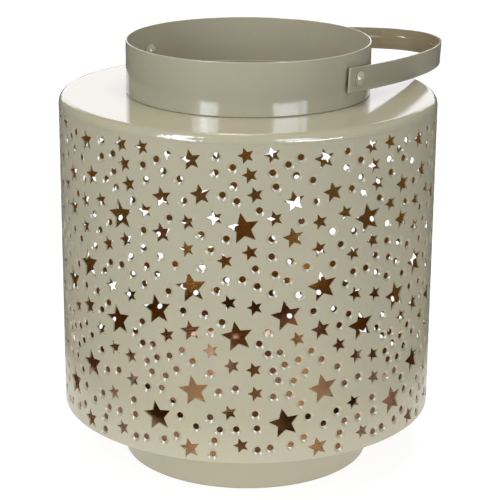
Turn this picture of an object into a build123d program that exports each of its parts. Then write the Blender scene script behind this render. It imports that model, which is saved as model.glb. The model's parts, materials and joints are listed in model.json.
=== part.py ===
# Punched tin lantern: a round drum of star-punched sheet iron, with an open collar, a foot and a strap handle
# Millimetres. +Z is up, the foot stands on z = 0 about the origin, and the handle swings about +X.
import os
from math import asin, cos, degrees, pi, radians, sin, sqrt, tan

from build123d import *

# Sheet and clearances
SHEET = 0.8  # sheet iron of every rolled or pressed piece
NEST_GAP = 0.1  # between sheets that sit inside one another
RUNNING_GAP = 0.05  # round a rivet in its hole
REST_GAP = 1.0  # between the lowered handle, stiff on its rivets, and the shoulder

# Drum
DRUM_RADIUS = 100.0
DRUM_HEIGHT = 170.0
WALL_FLATS = 76  # narrow flats of the rolled sheet, eight to a pattern repeat, within 0.09 mm of round
SHOULDER_EDGE = 4.6  # outside radius of the turned-down top edge
EDGE_STEPS = 3  # straight steps of that edge's quarter turn

# Star punching, one repeat of the rolled sheet
PATTERN_REPEAT = 66.1
PATTERN_BEARING = -58.0  # degrees from +X to the middle of the first repeat, opposite the sheet's seam
SEAM_MARGIN = 4.0  # plain strip kept beside the seam
EDGE_MARGIN = 2.0  # plain strip kept at the sheet's lower and upper edges
STAR_REACH = 7.9  # centre to point
STAR_NOTCH = 3.65  # centre to the notch between two points
STAR_TURN = 11.0  # degrees that the top point leans left of upright
STAR_POINTS = 5
# places along the sheet from the repeat's middle, and up from the sheet's lower edge
STAR_PLACES =[(-1.7, 123.5), (-27.5, 91.9), (20.0, 78.2), (-4.4, 67.8), (-26.2, 37.7), (19.7, 21.2)]

# Collar and the shoulder's neck inside it
COLLAR_RADIUS = 64.5
COLLAR_HEIGHT = 27.7
NECK_HEIGHT = 3.5

# Foot and the pressed floor above it
FOOT_RADIUS = 67.0
FOOT_HEIGHT = 29.4
FLOOR_EDGE_HEIGHT = 2.4  # the floor's turned-up edge inside the drum
SEAT_RADIUS = 56.0  # flat top of the raised candle seat
SEAT_RISE = 8.4
SEAT_SLOPE = 50.0  # degrees that the seat's side falls away from level

# Strap handle
STRAP_WIDTH = 12.8
STRAP_THICKNESS = 1.2
STRAP_STANDOFF = 1.0  # from the collar to the strap, at the rivet
STRAP_TAIL = 10.0  # strap end beyond the rivet
HANDLE_REACH = 185.0  # hinge to the middle of the strap at its top

# Rivets
RIVET_RADIUS = 2.0
HEAD_RADIUS = 4.0
HEAD_HEIGHT = 2.4
UPSET_RADIUS = 3.2  # the flat head formed inside the collar
UPSET_HEIGHT = 1.2
HEAD_GAP = 0.15  # between the rivet's head and the strap

# Places that follow from the sizes above
shoulder_top = FOOT_HEIGHT + DRUM_HEIGHT
wall_top = shoulder_top - SHOULDER_EDGE
wall_inside = (DRUM_RADIUS - SHEET) * cos(pi / WALL_FLATS)
rim = shoulder_top + COLLAR_HEIGHT
hinge_height = shoulder_top + COLLAR_HEIGHT / 2
strap_inside = COLLAR_RADIUS + STRAP_STANDOFF
strap_outside = strap_inside + STRAP_THICKNESS
head_seat = strap_outside + HEAD_GAP
seat_foot = SEAT_RADIUS + SEAT_RISE / tan(radians(SEAT_SLOPE))
# the floor's underside runs one sheet below its top, so its bends lie this much nearer the middle
bend_inset = SHEET * tan(radians(SEAT_SLOPE / 2))


def turned(profile):
    """Solid of revolution about the upright axis, from a profile drawn as (radius, height)."""
    return revolve(Plane.XZ * profile, Axis.Z)


def band(radius, bottom, top):
    """Rolled band of sheet, given its outside radius and the heights of its two edges."""
    inner = radius - SHEET
    outline = Polyline((inner, bottom), (radius, bottom), (radius, top), (inner, top), close=True)
    return turned(make_face(outline))


def star_punch():
    """Star-shaped punch about the origin, long enough to pass through the sheet."""
    corners = []
    for corner in range(2 * STAR_POINTS):
        radius = STAR_NOTCH if corner % 2 else STAR_REACH
        angle = radians(90 + STAR_TURN + corner * 180 / STAR_POINTS)
        corners.append((radius * cos(angle), radius * sin(angle)))
    # the sheet bends away from the punch by this much at the star's points
    bend = DRUM_RADIUS - sqrt(DRUM_RADIUS**2 - STAR_REACH**2)
    return extrude(make_face(Polyline(*corners, close=True)), 2 * (SHEET + bend), both=True)


def hinge_drill():
    """Drill along the hinge at the origin, through the strap and the collar at both sides."""
    return Cylinder(RIVET_RADIUS + RUNNING_GAP, 2 * head_seat, rotation=(0, 90, 0))


def make_drum_wall():
    """Rolled sheet with the large stars punched in repeats, from its middle round to the seam."""
    section = RegularPolygon(DRUM_RADIUS, WALL_FLATS) - RegularPolygon(DRUM_RADIUS - SHEET, WALL_FLATS)
    wall = Pos(0, 0, FOOT_HEIGHT) * extrude(section, wall_top - FOOT_HEIGHT)
    punch = star_punch()
    half_length = pi * DRUM_RADIUS
    last_along = half_length - SEAM_MARGIN - STAR_REACH
    first_up = EDGE_MARGIN + STAR_REACH
    last_up = wall_top - FOOT_HEIGHT - first_up
    repeats = int(half_length / PATTERN_REPEAT) + 1
    punches = []
    for repeat in range(-repeats, repeats + 1):
        for along_in_repeat, up in STAR_PLACES:
            along = along_in_repeat + repeat * PATTERN_REPEAT
            if abs(along) > last_along or not first_up <= up <= last_up:
                continue
            angle = radians(PATTERN_BEARING) + along / DRUM_RADIUS
            outward = Vector(cos(angle), sin(angle), 0)
            sideways = Vector(-sin(angle), cos(angle), 0)
            middle = outward * DRUM_RADIUS + Vector(0, 0, FOOT_HEIGHT + up)
            punches.append(Plane(origin=middle, x_dir=sideways, z_dir=outward) * punch)
    return wall - punches


def make_shoulder():
    """Flat ring with an outer edge turned down to the wall, and a neck turned up round the mouth."""
    neck = COLLAR_RADIUS - SHEET - NEST_GAP
    neck_top = shoulder_top + NECK_HEIGHT
    outside, inside = [], []
    for step in range(EDGE_STEPS + 1):
        turn = radians(90 * step / EDGE_STEPS)
        for edge, radius in ((outside, SHOULDER_EDGE), (inside, SHOULDER_EDGE - SHEET)):
            edge.append((DRUM_RADIUS - SHOULDER_EDGE + radius * cos(turn), wall_top + radius * sin(turn)))
    inside.reverse()
    outline = Polyline(
        *outside,
        (neck, shoulder_top),
        (neck, neck_top),
        (neck - SHEET, neck_top),
        (neck - SHEET, shoulder_top - SHEET),
        *inside,
        close=True,
    )
    return turned(make_face(outline))


def make_collar():
    """Plain band round the mouth, drilled through both sides for the rivets."""
    return band(COLLAR_RADIUS, shoulder_top, rim) - Pos(0, 0, hinge_height) * hinge_drill()


def make_base_pan():
    """Pressed floor: a raised round seat with a sloping side, a flat margin and a turned-up edge."""
    edge = wall_inside - NEST_GAP
    floor = FOOT_HEIGHT + SHEET
    edge_top = FOOT_HEIGHT + FLOOR_EDGE_HEIGHT
    seat = floor + SEAT_RISE
    outline = Polyline(
        (0, seat),
        (SEAT_RADIUS, seat),
        (seat_foot, floor),
        (edge - SHEET, floor),
        (edge - SHEET, edge_top),
        (edge, edge_top),
        (edge, FOOT_HEIGHT),
        (seat_foot - bend_inset, FOOT_HEIGHT),
        (SEAT_RADIUS - bend_inset, seat - SHEET),
        (0, seat - SHEET),
        close=True,
    )
    return turned(make_face(outline))


def make_foot_ring():
    """Plain band that reaches up to the floor's underside, also under the seat's sloping side."""
    under_slope = (seat_foot - bend_inset - FOOT_RADIUS) * tan(radians(SEAT_SLOPE))
    return band(FOOT_RADIUS, 0, FOOT_HEIGHT + min(max(under_slope, 0), SEAT_RISE))


def make_handle():
    """Flat strap bent to a half ellipse, lowered to the shoulder, with square ends beyond the rivets."""
    inner_reach = HANDLE_REACH - STRAP_THICKNESS / 2
    outer_reach = HANDLE_REACH + STRAP_THICKNESS / 2
    outline = [
        EllipticalCenterArc((0, 0), strap_outside, outer_reach, arc_size=180),
        EllipticalCenterArc((0, 0), strap_inside, inner_reach, arc_size=180),
    ]
    for side in (-1, 1):
        inside, outside = side * strap_inside, side * strap_outside
        outline.append(Polyline((outside, 0), (outside, -STRAP_TAIL), (inside, -STRAP_TAIL), (inside, 0)))
    strap = extrude(make_face(outline), STRAP_WIDTH / 2, both=True)
    strap -= hinge_drill()
    # the strap's legs cross the outer edge of the shoulder's flat this far from the hinge
    flat = DRUM_RADIUS - SHOULDER_EDGE
    crossing = sqrt((flat**2 - strap_inside**2) / (1 - (strap_inside / inner_reach) ** 2))
    crossing = min(crossing, inner_reach)
    droop = degrees(asin((COLLAR_HEIGHT / 2 - STRAP_WIDTH / 2 - REST_GAP) / crossing))
    print(f"handle droop {droop:.3f} degrees, hinge height {hinge_height:.2f}")
    return Pos(0, 0, hinge_height) * Rot(-droop, 0, 0) * strap


def make_rivets():
    """Rivet at each end of the hinge: a domed head outside the strap and a flat head inside the collar."""
    dome = head_seat + HEAD_HEIGHT
    # the flat head meets the collar's round inside at its own edge
    upset_seat = sqrt((COLLAR_RADIUS - SHEET) ** 2 - UPSET_RADIUS**2)
    upset_end = upset_seat - UPSET_HEIGHT
    outline = [
        TangentArc((0, dome), (HEAD_RADIUS, head_seat), tangent=(1, 0)),
        Polyline(
            (HEAD_RADIUS, head_seat),
            (RIVET_RADIUS, head_seat),
            (RIVET_RADIUS, upset_seat),
            (UPSET_RADIUS, upset_seat),
            (UPSET_RADIUS, upset_end),
            (0, upset_end),
            (0, dome),
        ),
    ]
    rivet = turned(make_face(outline))
    return [Pos(0, 0, hinge_height) * Rot(0, side, 0) * rivet for side in (90, -90)]


pieces = {
    "drum_wall": make_drum_wall(),
    "shoulder": make_shoulder(),
    "collar": make_collar(),
    "base_pan": make_base_pan(),
    "foot_ring": make_foot_ring(),
    "handle": make_handle(),
    "rivets": Compound(make_rivets()),
}

os.makedirs("parts", exist_ok=True)
for name, piece in pieces.items():
    export_step(piece, f"parts/{name}.step")
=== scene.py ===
import json
from math import asin, atan2, cos, pi, radians, sin, tan

import bmesh
import bpy
from mathutils import Matrix, Vector
from mathutils.noise import noise as hammering


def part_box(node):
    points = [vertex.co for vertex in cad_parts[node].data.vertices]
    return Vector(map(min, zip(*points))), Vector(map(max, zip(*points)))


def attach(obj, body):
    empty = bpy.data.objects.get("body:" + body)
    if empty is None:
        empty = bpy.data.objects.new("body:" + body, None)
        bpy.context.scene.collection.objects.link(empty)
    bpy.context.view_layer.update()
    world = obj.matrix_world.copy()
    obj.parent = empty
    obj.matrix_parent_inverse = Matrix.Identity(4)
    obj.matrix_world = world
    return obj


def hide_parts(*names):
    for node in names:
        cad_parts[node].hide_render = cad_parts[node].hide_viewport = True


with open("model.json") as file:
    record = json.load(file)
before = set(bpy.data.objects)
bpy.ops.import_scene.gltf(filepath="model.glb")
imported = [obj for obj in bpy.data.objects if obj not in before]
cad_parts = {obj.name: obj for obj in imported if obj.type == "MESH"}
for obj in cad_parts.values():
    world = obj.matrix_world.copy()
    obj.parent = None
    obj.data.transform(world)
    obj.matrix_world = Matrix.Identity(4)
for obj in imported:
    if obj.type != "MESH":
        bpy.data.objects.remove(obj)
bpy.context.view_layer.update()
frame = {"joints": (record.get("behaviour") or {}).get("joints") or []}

# Foot ring
# A plain band of sheet iron with softened edges, rolled to a ring and sprayed in greige gloss enamel.
# It is soldered under the floor, and the lantern stands on its lower edge.
MM = 0.001
SHEET = 0.8 * MM
SHEET_EDGE = 0.3 * MM  # rounding that the enamel leaves on a cut edge
ARC_STEPS = 4
RING_STEPS = 192


class Wire:
    """One output of a node: sums, products and the like with it add Math nodes to its tree."""

    def __init__(self, tree, socket):
        self.tree = tree
        self.socket = socket

    def maths(self, operation, first, second=0.0):
        return add_node(self.tree, "ShaderNodeMath", {0: first, 1: second}, {"operation": operation})

    def function(self, operation):
        return self.maths(operation, self)

    def __add__(self, other):
        return self.maths("ADD", self, other)

    def __radd__(self, other):
        return self.maths("ADD", other, self)

    def __sub__(self, other):
        return self.maths("SUBTRACT", self, other)

    def __rsub__(self, other):
        return self.maths("SUBTRACT", other, self)

    def __mul__(self, other):
        return self.maths("MULTIPLY", self, other)

    def __rmul__(self, other):
        return self.maths("MULTIPLY", other, self)

    def __truediv__(self, other):
        return self.maths("DIVIDE", self, other)

    def __lt__(self, other):
        return self.maths("LESS_THAN", self, other)


def add_node(tree, kind, inputs=None, settings=None, output=0):
    """Adds any node: its settings, then its inputs' values or wires. Gives one output, or all by name."""
    node = tree.nodes.new(kind)
    for name, value in (settings or {}).items():
        if name == "stops":
            for stop, (place, colour) in zip(node.color_ramp.elements, value):
                stop.position = place
                stop.color = (*colour, 1.0)
        else:
            setattr(node, name, value)
    for name, value in (inputs or {}).items():
        for each in value if isinstance(value, list) else [value]:
            if isinstance(each, Wire):
                tree.links.new(each.socket, node.inputs[name])
            else:
                node.inputs[name].default_value = each
    if output == "all":
        return {socket.name: Wire(tree, socket) for socket in node.outputs}
    return Wire(tree, node.outputs[output]) if node.outputs else None


def new_finish(name):
    """A new material and its empty node tree."""
    material = bpy.data.materials.new(name)
    material.use_nodes = True
    material.node_tree.nodes.clear()
    return material, material.node_tree


def noise(tree, place, pattern):
    """Noise from 0 to 1 over the piece, by its waves to a metre and the number of its finer layers."""
    waves, layers = pattern
    inputs = {"Vector": place, "Scale": waves, "Detail": layers}
    return add_node(tree, "ShaderNodeTexNoise", inputs, {"noise_dimensions": "3D"})


def ramp(tree, value, levels, first, second):
    """Goes from the first colour to the second as a value goes from one level to the other."""
    return add_node(tree, "ShaderNodeValToRGB", {"Fac": value}, {"stops": zip(levels, (first, second))})


def ease(tree, value, start, end, low=0.0, high=1.0):
    """Eases from low to high as a value goes from start to end."""
    inputs = {"Value": value, "From Min": start, "From Max": end, "To Min": low, "To Max": high}
    return add_node(tree, "ShaderNodeMapRange", inputs, {"interpolation_type": "SMOOTHSTEP"})


def within(tree, value, band):
    """1 inside a band of four values, eased in over its first two and out over its last two."""
    return ease(tree, value, *band[:2]) - ease(tree, value, *band[2:])


MIX_FACTOR, MIX_FIRST, MIX_SECOND, MIX_RESULT = 0, 6, 7, 2  # a Mix node's sockets for colours


def mix(tree, share, first, second):
    """The first colour with a share of the second over it."""
    inputs = {MIX_FACTOR: share, MIX_FIRST: first, MIX_SECOND: second}
    return add_node(tree, "ShaderNodeMix", inputs, {"data_type": "RGBA", "blend_type": "MIX"}, MIX_RESULT)


def bump(tree, rise):
    """Normals of a surface that rises by so many metres from place to place."""
    return add_node(tree, "ShaderNodeBump", {"Strength": 1.0, "Distance": 1.0, "Height": rise})


BLACK = (0, 0, 0)
WHITE = (1, 1, 1)
ENAMEL = (0.385, 0.357, 0.257)
ENAMEL_WARM = (0.405, 0.368, 0.262)
ENAMEL_SPECK = (0.20, 0.18, 0.13)
ENAMEL_IOR = 2.0
ENAMEL_ROUGHNESS = 0.08
PATCH_ROUGHNESS = 0.06  # added where the gloss is poorest
SPECK_SHARE = 0.35
# waves to a metre and finer layers of each pattern in the enamel and the sheet
CLOUDS = (22.0, 3.0)
SPECKS = (420.0, 1.0)
GLOSS_PATCHES = (60.0, 2.0)
DENTS = (26.0, 2.0)
RIM_DENTS = (85.0, 3.0)
RIM_RIPPLES = (200.0, 1.0)
ORANGE_PEEL = (520.0, 1.0)
# levels of the noise between which one tone gives way to the other
CLOUD_LEVELS = (0.35, 0.70)
SPECK_LEVELS = (0.775, 0.80)
DENT_RISE = 0.22 * MM
RIM_DENT_RISE = 0.40 * MM
RIM_RIPPLE_RISE = 0.15 * MM
ORANGE_PEEL_RISE = 0.0022 * MM
RIM_BAND = [0.1915, 0.1945, 0.1985, 0.1994]  # heights between which the rim's unevenness comes and goes


def gloss_enamel(name, tone, warm_tone):
    """Sprayed gloss enamel with a few specks, on sheet that is never quite flat."""
    material, tree = new_finish(name)
    place = add_node(tree, "ShaderNodeTexCoord", output="Object")
    height = add_node(tree, "ShaderNodeSeparateXYZ", {0: place}, output="Z")
    clouds = ramp(tree, noise(tree, place, CLOUDS), CLOUD_LEVELS, tone, warm_tone)
    specks = ramp(tree, noise(tree, place, SPECKS), SPECK_LEVELS, BLACK, WHITE)
    # the sheet is least flat round the drum's upper rim, and the enamel has a fine orange peel
    dents = noise(tree, place, DENTS) * DENT_RISE
    rim_dents = noise(tree, place, RIM_DENTS) * RIM_DENT_RISE
    rim_ripples = noise(tree, place, RIM_RIPPLES) * RIM_RIPPLE_RISE
    peel = noise(tree, place, ORANGE_PEEL) * ORANGE_PEEL_RISE
    inputs = {
        "Base Color": mix(tree, SPECK_SHARE * specks, clouds, (*ENAMEL_SPECK, 1)),
        "Roughness": ENAMEL_ROUGHNESS + PATCH_ROUGHNESS * noise(tree, place, GLOSS_PATCHES),
        "IOR": ENAMEL_IOR,
        "Normal": bump(tree, dents + (rim_dents + rim_ripples) * within(tree, height, RIM_BAND) + peel),
    }
    gloss = add_node(tree, "ShaderNodeBsdfPrincipled", inputs)
    add_node(tree, "ShaderNodeOutputMaterial", {"Surface": gloss})
    return material


enamel = gloss_enamel("greige_enamel", ENAMEL, ENAMEL_WARM)


def rounded(corners):
    """Closed outline of (radius, height, rounding) corners, each made an arc: points with their normals."""
    points = []
    for index, (radius, height, rounding) in enumerate(corners):
        corner = Vector((radius, height))
        before = Vector(corners[index - 1][:2]) - corner
        after = Vector(corners[(index + 1) % len(corners)][:2]) - corner
        if radius == 0:
            # on the axis the normal is upright: down where the outline sets out, up where it comes back
            points.append((corner, Vector((0, -1 if after.x > 0 else 1))))
            continue
        before.normalize()
        after.normalize()
        half = before.angle(after) / 2
        centre = corner + (before + after).normalized() * rounding / sin(half)
        first = corner + before * rounding / tan(half) - centre
        last = corner + after * rounding / tan(half) - centre
        swing = first.angle_signed(last)
        # a corner that bends into the piece has its arc's centre outside it
        side = 1 if before.cross(after) < 0 else -1
        for step in range(ARC_STEPS + 1):
            spoke = Matrix.Rotation(-swing * step / ARC_STEPS, 2) @ first
            points.append((centre + spoke, spoke.normalized() * side))
    return points


def add_object(name, data):
    """A new object of the scene, at the origin."""
    thing = bpy.data.objects.new(name, data)
    bpy.context.scene.collection.objects.link(thing)
    return thing


def turned(name, outline, finishes, inside=None):
    """Object of an outline turned about the axis: (radius, height) points with normals, anticlockwise."""
    verts, normals, rings = [], [], []
    for (radius, height), (out, up) in outline:
        ring = []
        for step in range(RING_STEPS if radius > 0 else 1):
            turn = 2 * pi * step / RING_STEPS
            ring.append(len(verts))
            verts.append((radius * cos(turn), radius * sin(turn), height))
            normals.append((out * cos(turn), out * sin(turn), up))
        rings.append(ring)
    faces = []
    for index, ring in enumerate(rings):
        other = rings[(index + 1) % len(rings)]
        if len(ring) == 1 and len(other) == 1:
            continue
        for step in range(RING_STEPS):
            after = (step + 1) % RING_STEPS
            if len(ring) == 1:
                face = (ring[0], other[after], other[step])
            elif len(other) == 1:
                face = (ring[step], ring[after], other[0])
            else:
                face = (ring[step], ring[after], other[after], other[step])
            faces.append(face)
    mesh = bpy.data.meshes.new(name)
    mesh.from_pydata(verts, [], faces)
    for finish in finishes:
        mesh.materials.append(finish)
    if inside:
        for face in mesh.polygons:
            face.material_index = 1 if inside(face) else 0
    mesh.shade_smooth()
    mesh.normals_split_custom_set_from_vertices(normals)
    return add_object(name, mesh)


def rolled_band(name, node, foot_rounding=SHEET_EDGE):
    """Band of sheet that fills the box of a CAD node, with softened edges."""
    low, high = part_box(node)
    outside = high.x
    corners = [
        (outside - SHEET, low.z, min(SHEET_EDGE, SHEET - foot_rounding)),
        (outside, low.z, foot_rounding),
        (outside, high.z, SHEET_EDGE),
        (outside - SHEET, high.z, SHEET_EDGE),
    ]
    return turned(name, rounded(corners), [enamel])


foot = rolled_band("foot_band", "foot_ring")
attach(foot, "lantern")
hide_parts("foot_ring")

# Floor
# Pressed from one round of sheet: a raised candle seat, a sloping side, and an edge turned up in the wall.
# Its top is copper lacquer like the rest of the inside, with painted shade on the seat's sloping side, and
# its underside greige enamel.
COPPER = (0.56, 0.355, 0.205)
COPPER_DEEP = (0.52, 0.32, 0.180)
COPPER_SHADED = (0.20, 0.13, 0.07)  # painted shade on the seat's sloping side
WALL_COPPER_SHADE = (0.58, 0.36, 0.115)  # painted shade on the wall, from near the floor
WALL_COPPER_LIT = (1.0, 0.68, 0.225)  # painted light, to its upper half
LACQUER_METAL = 0.95
LACQUER_ROUGHNESS = 0.22
LACQUER_CLOUDS = (30.0, 4.0)
LACQUER_CLOUD_LEVELS = (0.30, 0.70)
LACQUER_PATCHES = (45.0, 2.0)
BRUSHING = (700.0, 2.0)
BRUSHING_RISE = 0.001 * MM
SLOPE_BAND = [0.0555, 0.0575, 0.0625, 0.0645]  # radii between which the painted shade on the slope comes and goes
WALL_FADE = (0.039, 0.045)  # heights over which the floor's tones give way to the wall's
WALL_TONE_HEIGHT = 0.2  # about where the wall ends
WALL_TONE_LEVELS = (0.25, 0.60)  # shares of that height between which the painted shade goes over to the painted light
LEVEL_PART = (1, 1, 0)  # what is left of a vector without its upright part

lacquer, tree = new_finish("copper_lacquer")
place = add_node(tree, "ShaderNodeTexCoord", output="Object")
height = add_node(tree, "ShaderNodeSeparateXYZ", {0: place}, output="Z")
level = add_node(tree, "ShaderNodeVectorMath", {0: place, 1: LEVEL_PART}, {"operation": "MULTIPLY"})
away = add_node(tree, "ShaderNodeVectorMath", {0: level}, {"operation": "LENGTH"}, "Value")
seat_tint = ramp(tree, noise(tree, place, LACQUER_CLOUDS), LACQUER_CLOUD_LEVELS, COPPER_DEEP, COPPER)
# the seat's sloping side is painted in shade
floor_tint_and_slope_shade = mix(tree, within(tree, away, SLOPE_BAND), seat_tint, (*COPPER_SHADED, 1))
# painted shade low on the inner wall giving way to painted light higher up
wall_light_and_shade = ramp(tree, height / WALL_TONE_HEIGHT, WALL_TONE_LEVELS, WALL_COPPER_SHADE, WALL_COPPER_LIT)
satin_inputs = {
    "Base Color": mix(tree, ease(tree, height, *WALL_FADE), floor_tint_and_slope_shade, wall_light_and_shade),
    "Metallic": LACQUER_METAL,
    "Roughness": LACQUER_ROUGHNESS + PATCH_ROUGHNESS * noise(tree, place, LACQUER_PATCHES),
    "Normal": bump(tree, noise(tree, place, BRUSHING) * BRUSHING_RISE),
}
satin = add_node(tree, "ShaderNodeBsdfPrincipled", satin_inputs)
add_node(tree, "ShaderNodeOutputMaterial", {"Surface": satin})

SEAT_RADIUS = 56.0 * MM
SEAT_SLOPE = radians(50)
PRESSED_BEND = 1.4 * MM
FLOOR_EDGE = 2.4 * MM  # the edge turned up in the wall
low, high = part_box("base_pan")
floor_edge = high.x
floor_low = low.z
floor_top = floor_low + SHEET
seat_top = high.z
wall_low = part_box("drum_wall")[0].z
edge_top = wall_low + FLOOR_EDGE
seat_foot = SEAT_RADIUS + (seat_top - floor_top) / tan(SEAT_SLOPE)
bend_inset = SHEET * tan(SEAT_SLOPE / 2)
corners = [
    (0, seat_top - SHEET, 0),
    (SEAT_RADIUS - bend_inset, seat_top - SHEET, PRESSED_BEND - SHEET),
    (seat_foot - bend_inset, floor_low, PRESSED_BEND),
    (floor_edge, floor_low, PRESSED_BEND),
    (floor_edge, edge_top, SHEET_EDGE),
    (floor_edge - SHEET, edge_top, SHEET_EDGE),
    (floor_edge - SHEET, floor_top, PRESSED_BEND - SHEET),
    (seat_foot, floor_top, PRESSED_BEND - SHEET),
    (SEAT_RADIUS, seat_top, PRESSED_BEND),
    (0, seat_top, 0),
]
TILT = 0.2  # upright part of a normal from which a face counts as turned up or down


def faces_axis(face):
    """True of a face that is turned towards the axis."""
    return face.normal.to_2d().dot(face.center.to_2d()) < 0


def faces_candle(face):
    """True of a face of the floor's upper side."""
    return face.normal.z > TILT or (faces_axis(face) and face.normal.z > -TILT)


floor_pan = turned("floor_pan", rounded(corners), [enamel, lacquer], faces_candle)
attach(floor_pan, "lantern")
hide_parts("base_pan")

# Punched wall
# A sheet punched flat with stars in three sizes and with round holes whose rims are pressed inwards.
# It is then rolled and closed by a narrow lapped seam at the back. Enamel outside, copper lacquer inside,
# with painted shade low down giving way to painted light higher up.
REPEAT = 66.1 * MM  # the dies come round again after this length of sheet
BEARING = radians(-58)  # direction that the middle of the first repeat faces, opposite the seam
LAP = 3.0 * MM
TUCK = 1.1  # sheets that the lap's last strip goes under the first
SEAM_MARGIN = 4.0 * MM
STAR_POINTS = 5
NOTCH_SHARE = 0.46  # a star's notches lie this share of its reach from its middle
STAR_RIM = 0.03  # share that a star is wider at the sheet's outside, where its rim is pressed in
STAR_RINGS = 5
PUNCH_STEP = 0.3 * MM  # from one ring of a star punch to the next
DOT_RIM = 2.95 * MM
DOT_BALL = 4.4 * MM  # a dot is pressed and pierced by a punch with a round end of this radius
DOT_CORNERS = 14
DOT_RINGS = 5
FIRST_TURN = radians(49)  # from the tip of a round punch to its first ring
RING_TURN = radians(7.5)  # and on towards the tip, ring by ring
WALL_COLUMNS = 180
WALL_ROWS = 12
# reach and lean of a star die, then its places in a repeat: millimetres along the sheet and up from the table
STAR_DIES = [
    (8.2, 11, [(-1.7, 152.9), (-27.5, 121.3), (20.0, 107.6), (-4.4, 97.2), (-26.2, 67.1), (19.7, 50.6)]),
    (5.5, 12, [(-27.8, 186.1), (-22.8, 169.1), (23.2, 166.0), (22.9, 147.7), (-28.0, 98.8), (-28.5, 35.8)]),
    (
        4.25,
        18,
        [
            (-0.7, 189.3), (12.1, 189.6), (1.3, 179.6), (4.0, 169.8), (-15.7, 157.8), (13.6, 157.8),
            (-29.6, 154.7), (-29.8, 141.0), (1.7, 140.8), (-10.6, 136.2), (-8.6, 114.7), (4.2, 112.4),
            (25.7, 95.0), (-17.6, 89.2), (-7.0, 81.6), (4.0, 79.7), (5.0, 67.1), (-8.2, 56.6), (-2.1, 39.0),
        ],
    ),
]
DOT_PLACES = [
    (-15, 188.7), (-7, 183.3), (-15.5, 180.5), (-33.5, 176), (-6.5, 174.5), (-12, 169.5), (-31.3, 165.3),
    (-5, 166.5), (6, 162), (26.2, 187.8), (20, 184.5), (12.3, 180.7), (24, 179), (14, 173.7), (27, 155.8),
    (-22.5, 149), (-10, 147.5), (12.3, 147.5), (-17.7, 141.8), (12.3, 138.5), (21.8, 135.8), (30, 132.5),
    (-22, 132.3), (4.3, 132.5), (14, 129.5), (20, 126), (-10, 126.5), (-2, 127), (5.3, 123.5), (-14.6, 121),
    (12.6, 119.8), (26.2, 118), (-32, 108.8), (-20.7, 108.5), (-12, 104.5), (-17.5, 99.5), (10.8, 99.5),
    (6.5, 93.5), (11, 88.2), (17, 88.5), (33.3, 88), (26.5, 84), (-27.1, 82.8), (19.5, 81.9), (13.5, 79),
    (-18, 77.5), (30.3, 77.3), (16.3, 73.8), (24.3, 73), (-5.2, 69.7), (-13.7, 67.7), (22, 66),
    (13.8, 65.2), (28.4, 60.3), (4.8, 56), (-18, 53.5), (32.2, 52.8), (-25.3, 47.8), (-13, 47.2),
    (-4.7, 47.7), (5.8, 48.2), (-15.8, 41), (30.2, 41.8), (23.3, 38.5), (6.2, 36.5), (12.7, 37.5),
    (-16.5, 33.7),
]
drum_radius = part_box("shoulder")[1].x
wall_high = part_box("drum_wall")[1].z
half_length = pi * drum_radius

dies = [(reach * MM, radians(lean), True, places) for reach, lean, places in STAR_DIES]
dies.append((DOT_RIM, 0.0, False, DOT_PLACES))
spots, reaches, leans, stars = [], [], [], []
last_repeat = int(half_length / REPEAT) + 1
for repeat in range(-last_repeat, last_repeat + 1):
    for reach, lean, star, places in dies:
        for along_in_repeat, up in places:
            along = along_in_repeat * MM + repeat * REPEAT
            if abs(along) + reach < half_length - SEAM_MARGIN:
                spots.append((along, 0, up * MM))
                reaches.append(reach)
                leans.append(lean)
                stars.append(star)

sheet = bpy.data.meshes.new("punched_sheet")
sheet.from_pydata(spots, [], [])
for name, kind, values in (("reach", "FLOAT", reaches), ("lean", "FLOAT", leans), ("star", "BOOLEAN", stars)):
    sheet.attributes.new(name, kind, "POINT").data.foreach_set("value", values)

punching = bpy.data.node_groups.new("punching", "GeometryNodeTree")
punching.interface.new_socket("Holes", in_out="INPUT", socket_type="NodeSocketGeometry")
sizes = {
    "Drum radius": drum_radius,
    "Sheet": SHEET,
    "Lower edge": wall_low,
    "Upper edge": wall_high,
    "Lap": LAP,
    "Bearing": BEARING,
    "Notch share": NOTCH_SHARE,
    "Star rim": STAR_RIM,
    "Dot rim": DOT_RIM,
    "Dot ball": DOT_BALL,
    "Punch step": PUNCH_STEP,
}
coats = {"Outside": enamel, "Inside": lacquer}
for name in sizes:
    punching.interface.new_socket(name, in_out="INPUT", socket_type="NodeSocketFloat")
for name in coats:
    punching.interface.new_socket(name, in_out="INPUT", socket_type="NodeSocketMaterial")
punching.interface.new_socket("Wall", in_out="OUTPUT", socket_type="NodeSocketGeometry")


def wall_node(kind, inputs=None, settings=None, output=0):
    """A node of the punching tree."""
    return add_node(punching, kind, inputs, settings, output)


def vector(x, y, z):
    """A vector of the punching tree, from three values or wires."""
    return wall_node("ShaderNodeCombineXYZ", {"X": x, "Y": y, "Z": z})


def hole_value(name, kind):
    """A value that each hole carries."""
    return wall_node("GeometryNodeInputNamedAttribute", {"Name": name}, {"data_type": kind})


def punch(outline, rings, depth, size):
    """A punch from just outside the sheet to just inside it: depth and size follow the number of its ring."""
    line = wall_node("GeometryNodeCurvePrimitiveLine", {"End": (0, 1, 0)})
    line = wall_node("GeometryNodeResampleCurve", {"Curve": line, "Count": rings})
    line = wall_node("GeometryNodeSetPosition", {"Geometry": line, "Position": vector(0.0, depth, 0.0)})
    inputs = {"Curve": line, "Profile Curve": outline, "Scale": size, "Fill Caps": True}
    return wall_node("GeometryNodeCurveToMesh", inputs)


given = wall_node("NodeGroupInput", output="all")
points = wall_node("GeometryNodeMeshToPoints", {"Mesh": given["Holes"]})
is_star = hole_value("star", "BOOLEAN")
reach = hole_value("reach", "FLOAT")
lean = hole_value("lean", "FLOAT")
ring = wall_node("GeometryNodeInputIndex")
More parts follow.
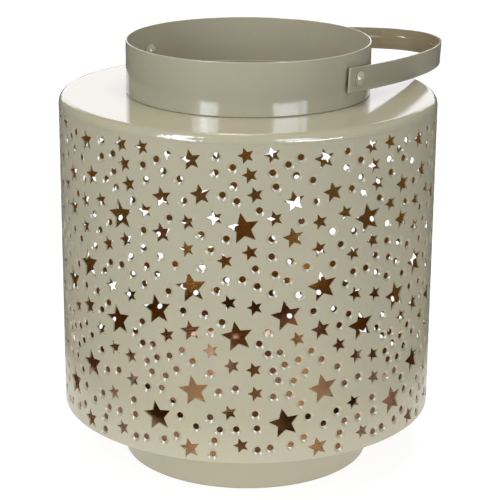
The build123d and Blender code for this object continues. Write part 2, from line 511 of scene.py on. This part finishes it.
# a star punch narrows from the sheet's outside to its last ring
step = given["Punch step"]
star_depth = (ring - 1.0) * step
star_size = ease(punching, star_depth, 0.0, step * (STAR_RINGS - 2.0), given["Star rim"] + 1.0, 1.0)
star_inputs = {"Points": STAR_POINTS, "Inner Radius": given["Notch share"], "Outer Radius": 1.0}
star_outline = wall_node("GeometryNodeCurveStar", star_inputs)
star_punches = wall_node(
    "GeometryNodeInstanceOnPoints",
    {
        "Points": points,
        "Selection": is_star,
        "Instance": punch(star_outline, STAR_RINGS, star_depth, star_size),
        "Rotation": vector(0.0, 0.0 - lean - pi / 2, 0.0),
        "Scale": vector(reach, 1.0, reach),
    },
)
# a dot punch is the end of a ball that has sunk in as far as the dot's rim
turn = FIRST_TURN - ring * RING_TURN
ball = given["Dot ball"]
ball_above = (ball * ball - given["Dot rim"] * given["Dot rim"]).function("SQRT")
dot_depth = ball * turn.function("COSINE") - ball_above
dot_size = ball * turn.function("SINE")
dot_outline = wall_node("GeometryNodeCurvePrimitiveCircle", {"Resolution": DOT_CORNERS, "Radius": 1.0})
dot_punches = wall_node(
    "GeometryNodeInstanceOnPoints",
    {
        "Points": points,
        "Selection": wall_node("FunctionNodeBooleanMath", {0: is_star}, {"operation": "NOT"}),
        "Instance": punch(dot_outline, DOT_RINGS, dot_depth, dot_size),
    },
)
length = given["Drum radius"] * (2 * pi) + given["Lap"]
tall = given["Upper edge"] - given["Lower edge"]
blank = wall_node(
    "GeometryNodeMeshCube",
    {
        "Size": vector(length, given["Sheet"], tall),
        "Vertices X": WALL_COLUMNS + 1,
        "Vertices Y": 2,
        "Vertices Z": WALL_ROWS + 1,
    },
)
mid_height = (given["Upper edge"] + given["Lower edge"]) / 2.0
middle = vector(given["Lap"] / 2.0, given["Sheet"] / 2.0, mid_height)
blank = wall_node("GeometryNodeTransform", {"Geometry": blank, "Translation": middle})
punches = wall_node("GeometryNodeJoinGeometry", {0: [star_punches, dot_punches]})
cutting = {"operation": "DIFFERENCE", "solver": "MANIFOLD"}
punched = wall_node("GeometryNodeMeshBoolean", {"Mesh 1": blank, "Mesh 2": punches}, cutting)
# rolling: along the sheet becomes round the drum, and the seam's last strip tucks under the first
position = wall_node("GeometryNodeInputPosition")
flat_spot = wall_node("ShaderNodeSeparateXYZ", {0: position}, output="all")
seam = given["Drum radius"] * pi
tuck = ease(punching, flat_spot["X"], seam - given["Lap"], seam) * (given["Sheet"] * TUCK)
radius = given["Drum radius"] - flat_spot["Y"] - tuck
turn = flat_spot["X"] / given["Drum radius"] + given["Bearing"]
rolled_spot = vector(radius * turn.function("COSINE"), radius * turn.function("SINE"), flat_spot["Z"])
rolled = wall_node("GeometryNodeSetPosition", {"Geometry": punched, "Position": rolled_spot})
rolled = wall_node("GeometryNodeRealizeInstances", {"Geometry": rolled})
# the inside is what faces the axis
INSIDE_FACING = -0.5  # cosine between a face's normal and the way out
level = wall_node("ShaderNodeVectorMath", {0: position, 1: LEVEL_PART}, {"operation": "MULTIPLY"})
facing_inputs = {0: wall_node("GeometryNodeInputNormal"), 1: level}
facing = wall_node("ShaderNodeVectorMath", facing_inputs, {"operation": "DOT_PRODUCT"}, "Value")
is_inside = facing / given["Drum radius"] < INSIDE_FACING
coated = wall_node("GeometryNodeSetMaterial", {"Geometry": rolled, "Material": given["Outside"]})
inside_coat = {"Geometry": coated, "Selection": is_inside, "Material": given["Inside"]}
coated = wall_node("GeometryNodeSetMaterial", inside_coat)
wall_node("NodeGroupOutput", {"Wall": coated})


def finished_mesh(blank, name):
    """Plain mesh of a blank with its modifiers applied."""
    mesh = bpy.data.meshes.new_from_object(blank.evaluated_get(bpy.context.evaluated_depsgraph_get()))
    mesh.name = name
    return mesh


def away_from_axis(spot):
    """Level unit vector from the axis towards a spot."""
    return Vector((spot.x, spot.y, 0)).normalized()


blank_sheet = add_object("punched_sheet", sheet)
rolling = blank_sheet.modifiers.new("punching", "NODES")
rolling.node_group = punching
chosen = sizes | coats
for socket in punching.interface.items_tree:
    if socket.name in chosen:
        rolling[socket.identifier] = chosen[socket.name]
wall_mesh = finished_mesh(blank_sheet, "punched_wall")
bpy.data.objects.remove(blank_sheet)
WALL_CREASE = radians(28)
SHEET_FACE = 0.995  # cosine past which a face belongs to one of the sheet's two faces
AS_SHADED = (0, 0, 0)  # leaves a corner's normal to the smooth shading
wall_mesh.shade_smooth()
wall_mesh.set_sharp_from_angle(angle=WALL_CREASE)
# the sheet's two faces keep the drum's own normals, so the flats between their edges don't show
normals = []
for face in wall_mesh.polygons:
    facing_out = face.normal.dot(away_from_axis(face.center))
    for vertex in face.vertices:
        radial = away_from_axis(wall_mesh.vertices[vertex].co)
        if abs(facing_out) > SHEET_FACE:
            normals.append(radial if facing_out > 0 else -radial)
        else:
            normals.append(AS_SHADED)
wall_mesh.normals_split_custom_set(normals)
wall = add_object("punched_wall", wall_mesh)
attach(wall, "lantern")
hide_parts("drum_wall")

# Shoulder
# A pressed ring of sheet that closes the drum's top: a flat, a rounded edge turned down to the wall, and a
# short neck turned up round the mouth. Greige enamel, with the drum's copper lacquer underneath.
SHOULDER_EDGE = 4.6 * MM
COLLAR_GAP = 0.1 * MM
FLUSH_EDGE = 0.02 * MM  # the enamel fills the joint with the wall
collar_low, collar_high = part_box("collar")
shoulder_top = collar_low.z
neck_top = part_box("shoulder")[1].z
neck = collar_high.x - SHEET - COLLAR_GAP
corners = [
    (neck - SHEET, shoulder_top - SHEET, SHEET),
    (drum_radius - SHEET, shoulder_top - SHEET, SHOULDER_EDGE - SHEET),
    (drum_radius - SHEET, wall_high, SHEET_EDGE),
    (drum_radius, wall_high, FLUSH_EDGE),
    (drum_radius, shoulder_top, SHOULDER_EDGE),
    (neck, shoulder_top, SHEET_EDGE),
    (neck, neck_top, SHEET_EDGE),
    (neck - SHEET, neck_top, SHEET_EDGE),
]


def faces_drum(face):
    """True of a face of the shoulder's underside."""
    return face.center.z < shoulder_top - SHEET / 2 and (faces_axis(face) or face.normal.z < -TILT)


shoulder = turned("shoulder_ring", rounded(corners), [enamel, lacquer], faces_drum)
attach(shoulder, "lantern")
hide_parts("shoulder")

# Collar
# A plain rolled band that stands on the shoulder round the mouth and carries the two rivets.
# Its lower edge is rolled inwards, which leaves a fine groove above the shoulder. Greige enamel.
COLLAR_FOOT_ROUNDING = 0.74 * MM
collar = rolled_band("mouth_collar", "collar", COLLAR_FOOT_ROUNDING)
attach(collar, "lantern")
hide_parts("collar")

# Handle
# A flat strap of sheet iron bent to a half ellipse, with square ends that are drilled for the rivets.
# It is stiff on the rivets and here lies just above the drum's rim. Greige enamel, with painted shade on its
# inside.
STRAP_WIDTH = 12.8 * MM
STRAP_THICKNESS = 1.2 * MM
STRAP_STANDOFF = 1.0 * MM  # from the collar to the strap
STRAP_TAIL = 10.0 * MM  # strap end beyond the rivet
STRAP_EDGE = 0.28 * MM
STRAP_EDGE_STEPS = 3
STRAP_CREASE = radians(40)
HANDLE_REACH = 185.0 * MM  # hinge to the middle of the strap at its top
HANDLE_DROOP = radians(4.987)  # below level, just above the drum's rim
BEND_STEPS = 96
RIVET_RADIUS = 2.0 * MM
RUNNING_GAP = 0.05 * MM  # round a rivet in its hole
DRILL_CORNERS = 24
# the strap's inside: painted shade, mottled at random between these two tones
STRAP_SHADE = (0.20, 0.162, 0.094)
STRAP_SHADE_WARM = (0.27, 0.225, 0.140)
hinge = Vector(frame["joints"][0]["pos_m"])
strap_middle = collar_high.x + STRAP_STANDOFF + STRAP_THICKNESS / 2
to_rest = Matrix.Translation(hinge) @ Matrix.Rotation(-HANDLE_DROOP, 4, "X")
thin_enamel = gloss_enamel("thin_enamel", STRAP_SHADE, STRAP_SHADE_WARM)

# middle line of the strap in the plane of the handle, with the direction away from its inside
line = [(Vector((strap_middle, -STRAP_TAIL)), Vector((1, 0)))]
for step in range(BEND_STEPS + 1):
    turn = pi * step / BEND_STEPS
    away = Vector((cos(turn) / strap_middle, sin(turn) / HANDLE_REACH)).normalized()
    line.append((Vector((strap_middle * cos(turn), HANDLE_REACH * sin(turn))), away))
line.append((Vector((-strap_middle, -STRAP_TAIL)), Vector((-1, 0))))
# corners of the strap's section: 1 outside or -1 inside, then 1 at one edge or -1 at the other
SECTION = [(1, 1), (-1, 1), (-1, -1), (1, -1)]
INSIDE_FACE = 1  # the face from the section's second corner to its third
verts, faces, inside_faces = [], [], []
for spot, away in line:
    for side, edge in SECTION:
        corner = spot + away * side * STRAP_THICKNESS / 2
        verts.append(to_rest @ Vector((*corner, edge * STRAP_WIDTH / 2)))
corner_count = len(SECTION)
for section in range(len(line) - 1):
    start = corner_count * section
    inside_faces.append(start + INSIDE_FACE)
    for corner in range(corner_count):
        first = start + corner
        second = start + (corner + 1) % corner_count
        faces.append((first, first + corner_count, second + corner_count, second))
first_end = range(corner_count)
last_end = range(len(verts) - 1, len(verts) - 1 - corner_count, -1)
faces += [tuple(first_end), tuple(last_end)]
strap_mesh = bpy.data.meshes.new("strap_blank")
strap_mesh.from_pydata(verts, [], faces)
strap_mesh.shade_smooth()
strap_mesh.set_sharp_from_angle(angle=STRAP_CREASE)
strap_mesh.materials.append(enamel)
strap_mesh.materials.append(thin_enamel)
# the inside faces get the enamel with painted shade
for index in inside_faces:
    strap_mesh.polygons[index].material_index = 1
strap_blank = add_object("strap_blank", strap_mesh)
drill_mesh = bpy.data.meshes.new("drill")
drill = bmesh.new()
bmesh.ops.create_cone(
    drill,
    cap_ends=True,
    segments=DRILL_CORNERS,
    radius1=RIVET_RADIUS + RUNNING_GAP,
    radius2=RIVET_RADIUS + RUNNING_GAP,
    depth=4 * strap_middle,
    matrix=Matrix.Translation(hinge) @ Matrix.Rotation(pi / 2, 4, "Y"),
)
drill.to_mesh(drill_mesh)
drill.free()
drill_bit = add_object("drill_bit", drill_mesh)
cut = strap_blank.modifiers.new("rivet_holes", "BOOLEAN")
cut.operation = "DIFFERENCE"
cut.solver = "EXACT"
cut.object = drill_bit
soften = strap_blank.modifiers.new("softened_edges", "BEVEL")
soften.width = STRAP_EDGE
soften.segments = STRAP_EDGE_STEPS
soften.limit_method = "ANGLE"
soften.angle_limit = STRAP_CREASE
soften.harden_normals = True
handle = add_object("strap_handle", finished_mesh(strap_blank, "strap_handle"))
for tool in (strap_blank, drill_bit):
    bpy.data.objects.remove(tool)
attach(handle, "handle")
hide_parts("handle")

# Rivets
# Two round-headed rivets, set from outside through strap and collar and hammered to a small dome inside.
# They were enamelled with the rest after the handle was hung.
HEAD_RADIUS = 4.4 * MM
HEAD_HEIGHT = 2.9 * MM
HEAD_GAP = 0.15 * MM  # the handle swings freely under the head
UPSET_RADIUS = 4.0 * MM
UPSET_HEIGHT = 3.2 * MM
UPSET_GAP = 0.5 * MM  # the head inside was not hammered home
HAMMER_DENT = 0.12 * MM
HAMMER_MARKS = 380.0  # dents to a metre
DOME_STEPS = 6
head_seat = strap_middle + STRAP_THICKNESS / 2 + HEAD_GAP
upset_seat = collar_high.x - SHEET - UPSET_GAP


def dome(radius, height, seat, up):
    """Points and normals of a round head from its edge to its top, over a seat, up or down the axis."""
    ball = (radius**2 + height**2) / (2 * height)
    opening = asin(radius / ball)
    points = []
    for step in range(DOME_STEPS):
        turn = opening * (1 - step / DOME_STEPS)
        rise = ball * cos(turn) - (ball - height)
        points.append((Vector((ball * sin(turn), seat + up * rise)), Vector((sin(turn), up * cos(turn)))))
    points.append((Vector((0, seat + up * height)), Vector((0, up))))
    return points


inward = Vector((0, -1))
outward = Vector((0, 1))
sideways = Vector((1, 0))
outline = dome(UPSET_RADIUS, UPSET_HEIGHT, upset_seat, -1)
outline.reverse()
outline += [
    (Vector((UPSET_RADIUS, upset_seat)), outward),
    (Vector((RIVET_RADIUS, upset_seat)), outward),
    (Vector((RIVET_RADIUS, upset_seat)), sideways),
    (Vector((RIVET_RADIUS, head_seat)), sideways),
    (Vector((RIVET_RADIUS, head_seat)), inward),
    (Vector((HEAD_RADIUS, head_seat)), inward),
]
outline += dome(HEAD_RADIUS, HEAD_HEIGHT, head_seat, 1)
rivet = turned("hinge_rivets", outline, [enamel])
both = bmesh.new()
for side in (pi / 2, -pi / 2):
    rivet_copy = rivet.data.copy()
    rivet_copy.transform(Matrix.Translation(hinge) @ Matrix.Rotation(side, 4, "Y"))
    both.from_mesh(rivet_copy)
    bpy.data.meshes.remove(rivet_copy)
# the hammer leaves each head a little uneven, most of all at its top
for vertex in both.verts:
    out = abs(vertex.co.x)
    rise = max((out - head_seat) / HEAD_HEIGHT, (upset_seat - out) / UPSET_HEIGHT, 0)
    vertex.co.x += HAMMER_DENT * rise * hammering(vertex.co * HAMMER_MARKS)
both.to_mesh(rivet.data)
both.free()
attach(rivet, "lantern")
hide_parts("rivets")

# Studio
# White paper on a glowing table in a dim room, softboxes in front at both sides, a soft light above, a small
# lamp behind and a bright backdrop. The camera stands a little above the lantern, as in the photograph.
CAMERA_PLACE = Vector((484.2, -771.9, 398.8)) * MM
CAMERA_BEARING = radians(32)
CAMERA_PITCH = radians(17.548)
CAMERA_ROLL = radians(0.434)
CAMERA_LENS = 126.35
CAMERA_SENSOR = 36.0
LANTERN_MIDDLE = Vector((0, 0, 0.11))
DAYLIGHT = (0.92, 1.0, 1.10)
ROOM_TINT = (1.06, 1.0, 0.90)
BACKDROP_TINT = (0.97, 0.98, 1.05)
# bearing to the right of the camera and height above level in degrees, width and height, radiance and tint
SOFTBOXES = {
    "left_box": (-35.6, 14, 0.305, 0.20, 7.5, DAYLIGHT),
    "left_box_top": (-44.2, 36, 0.28, 0.75, 6.0, DAYLIGHT),
    "right_box": (34.85, 14, 0.453, 0.20, 7.3, DAYLIGHT),
    "right_box_end": (51.2, 14, 0.11, 0.20, 5.8, DAYLIGHT),
    "right_box_top": (30.0, 33, 0.34, 0.50, 3.3, DAYLIGHT),
    "left_fill": (-62.0, 14, 0.80, 0.60, 0.4, ROOM_TINT),
    "overhead": (0.0, 82, 0.90, 0.90, 3.3, ROOM_TINT),
    "rim_lamp": (182.6, 46, 0.12, 0.30, 5.2, ROOM_TINT),
    "backdrop": (180.0, 17.5, 1.30, 0.36, 1.7, BACKDROP_TINT),
}
# pale flags keep these out of the enamel's reflections
UNSEEN_BOXES = ["left_fill", "overhead"]
BOX_DISTANCE = 1.1

camera = add_object("camera", bpy.data.cameras.new("camera"))
camera.data.lens = CAMERA_LENS
camera.data.sensor_width = CAMERA_SENSOR
aim = Matrix.Rotation(CAMERA_BEARING, 4, "Z") @ Matrix.Rotation(pi / 2 - CAMERA_PITCH, 4, "X")
camera.matrix_world = Matrix.Translation(CAMERA_PLACE) @ aim @ Matrix.Rotation(CAMERA_ROLL, 4, "Z")
bpy.context.scene.camera = camera
bpy.context.scene.view_settings.view_transform = "Standard"
camera_turn = atan2(CAMERA_PLACE.y, CAMERA_PLACE.x)


def towards(bearing, height):
    """Unit vector from the lantern, by degrees to the right of the camera and above level."""
    turn = camera_turn + radians(bearing)
    level = cos(radians(height))
    return Vector((level * cos(turn), level * sin(turn), sin(radians(height))))


def facing_lantern(direction, distance):
    """Place at a distance from the lantern's middle, turned to face it."""
    spot = LANTERN_MIDDLE + direction * distance
    return Matrix.Translation(spot) @ direction.to_track_quat("Z", "Y").to_matrix().to_4x4()


def add_lamp(name, shape, width, tall, power, tint):
    """An area lamp that the camera doesn't see."""
    lamp = bpy.data.lights.new(name, "AREA")
    lamp.shape = shape
    lamp.size = width
    lamp.size_y = tall
    lamp.energy = power
    lamp.color = tint
    box = add_object(name, lamp)
    box.visible_camera = False
    return box


for name, (bearing, height, width, tall, radiance, tint) in SOFTBOXES.items():
    box = add_lamp(name, "RECTANGLE", width, tall, radiance * pi * width * tall, tint)
    box.matrix_world = facing_lantern(towards(bearing, height), BOX_DISTANCE)
    box.visible_glossy = name not in UNSEEN_BOXES

# the table under the paper glows, which lights the foot and the lower wall
TABLE_WIDTH = 0.56
TABLE_GLOW = 0.72
TABLE_LIFT = 0.5 * MM
table_area = pi / 4 * TABLE_WIDTH**2
table = add_lamp("light_table", "DISK", TABLE_WIDTH, TABLE_WIDTH, TABLE_GLOW * pi * table_area, ROOM_TINT)
table.matrix_world = Matrix.Translation((0, 0, TABLE_LIFT)) @ Matrix.Rotation(pi, 4, "X")
table.visible_glossy = False


def ray_share(tree, *rays):
    """1 for a ray of one of these kinds, otherwise 0."""
    path = add_node(tree, "ShaderNodeLightPath", output="all")
    return sum(path[ray] for ray in rays)


# the room is white to the camera, and dim to the surfaces it lights and to the enamel that mirrors it
ROOM_LIGHT = 0.10
ROOM_SHEEN = 0.12
CEILING_SHEEN = 0.01
CEILING_RISE = (0.6, 0.85)  # upright part of a direction, over which the room turns into its ceiling
room = bpy.data.worlds.new("studio")
bpy.context.scene.world = room
room.use_nodes = True
tree = room.node_tree
tree.nodes.clear()
seen = ray_share(tree, "Is Camera Ray", "Is Transmission Ray")
mirrored = ray_share(tree, "Is Glossy Ray")
direction = add_node(tree, "ShaderNodeTexCoord", output="Generated")
rise = add_node(tree, "ShaderNodeSeparateXYZ", {0: direction}, output="Z")
sheen_grey = ease(tree, rise, *CEILING_RISE, ROOM_SHEEN, CEILING_SHEEN)
room_grey = seen * (1 - ROOM_LIGHT) + mirrored * (sheen_grey - ROOM_LIGHT) + ROOM_LIGHT
light = add_node(tree, "ShaderNodeBackground", {"Color": room_grey, "Strength": 1.0})
add_node(tree, "ShaderNodeOutputWorld", {"Surface": light})

# the paper is white to the camera and keeps a soft shadow, and the enamel mirrors only its middle
PAPER_RADIUS = 0.15  # the mirrored paper ends softly from here
PAPER_END = 0.23
PAPER_SHEEN = 0.7
FAR_SHEEN = 0.08  # share of that sheen beyond the paper's end
SHADOW_SPREAD = (0.16, 0.42)  # radii over which the shadow's greyer ground gives way to white
SHADOW_GLOW = 0.86
PAPER_LIT = (0.94, 0.92, 0.88, 1)  # the paper as a surface that lights the lantern
PAPER_SHOWN = (0.24, 0.24, 0.24, 1)  # what it adds to its glow before the camera
PAPER_MIRRORED = (0.08, 0.08, 0.08, 1)  # and in the enamel
FLOOR_REACH = 3.0
floor_finish, tree = new_finish("white_floor")
place = add_node(tree, "ShaderNodeTexCoord", output="Object")
away = add_node(tree, "ShaderNodeVectorMath", {0: place}, {"operation": "LENGTH"}, "Value")
seen = ray_share(tree, "Is Camera Ray", "Is Transmission Ray")
mirrored = ray_share(tree, "Is Glossy Ray")
glow_grey = ease(tree, away, *SHADOW_SPREAD, SHADOW_GLOW, 1.0)
sheen_grey = ease(tree, away, PAPER_RADIUS, PAPER_END, 1.0, FAR_SHEEN) * PAPER_SHEEN
lit = add_node(tree, "ShaderNodeBsdfDiffuse", {"Color": PAPER_LIT})
plain = add_node(tree, "ShaderNodeBsdfDiffuse", {"Color": PAPER_SHOWN})
dim = add_node(tree, "ShaderNodeBsdfDiffuse", {"Color": PAPER_MIRRORED})
glow = add_node(tree, "ShaderNodeEmission", {"Color": glow_grey, "Strength": 1.0})
sheen = add_node(tree, "ShaderNodeEmission", {"Color": sheen_grey, "Strength": 1.0})
shown = add_node(tree, "ShaderNodeAddShader", {0: plain, 1: glow})
mirror_image = add_node(tree, "ShaderNodeAddShader", {0: dim, 1: sheen})
surface = add_node(tree, "ShaderNodeMixShader", {0: mirrored, 1: lit, 2: mirror_image})
surface = add_node(tree, "ShaderNodeMixShader", {0: seen, 1: surface, 2: shown})
add_node(tree, "ShaderNodeOutputMaterial", {"Surface": surface})
floor_mesh = bpy.data.meshes.new("floor")
floor_corners = [(x * FLOOR_REACH, y * FLOOR_REACH, 0) for x, y in ((-1, -1), (1, -1), (1, 1), (-1, 1))]
floor_mesh.from_pydata(floor_corners, [], [(0, 1, 2, 3)])
floor_mesh.materials.append(floor_finish)
floor = add_object("floor", floor_mesh)
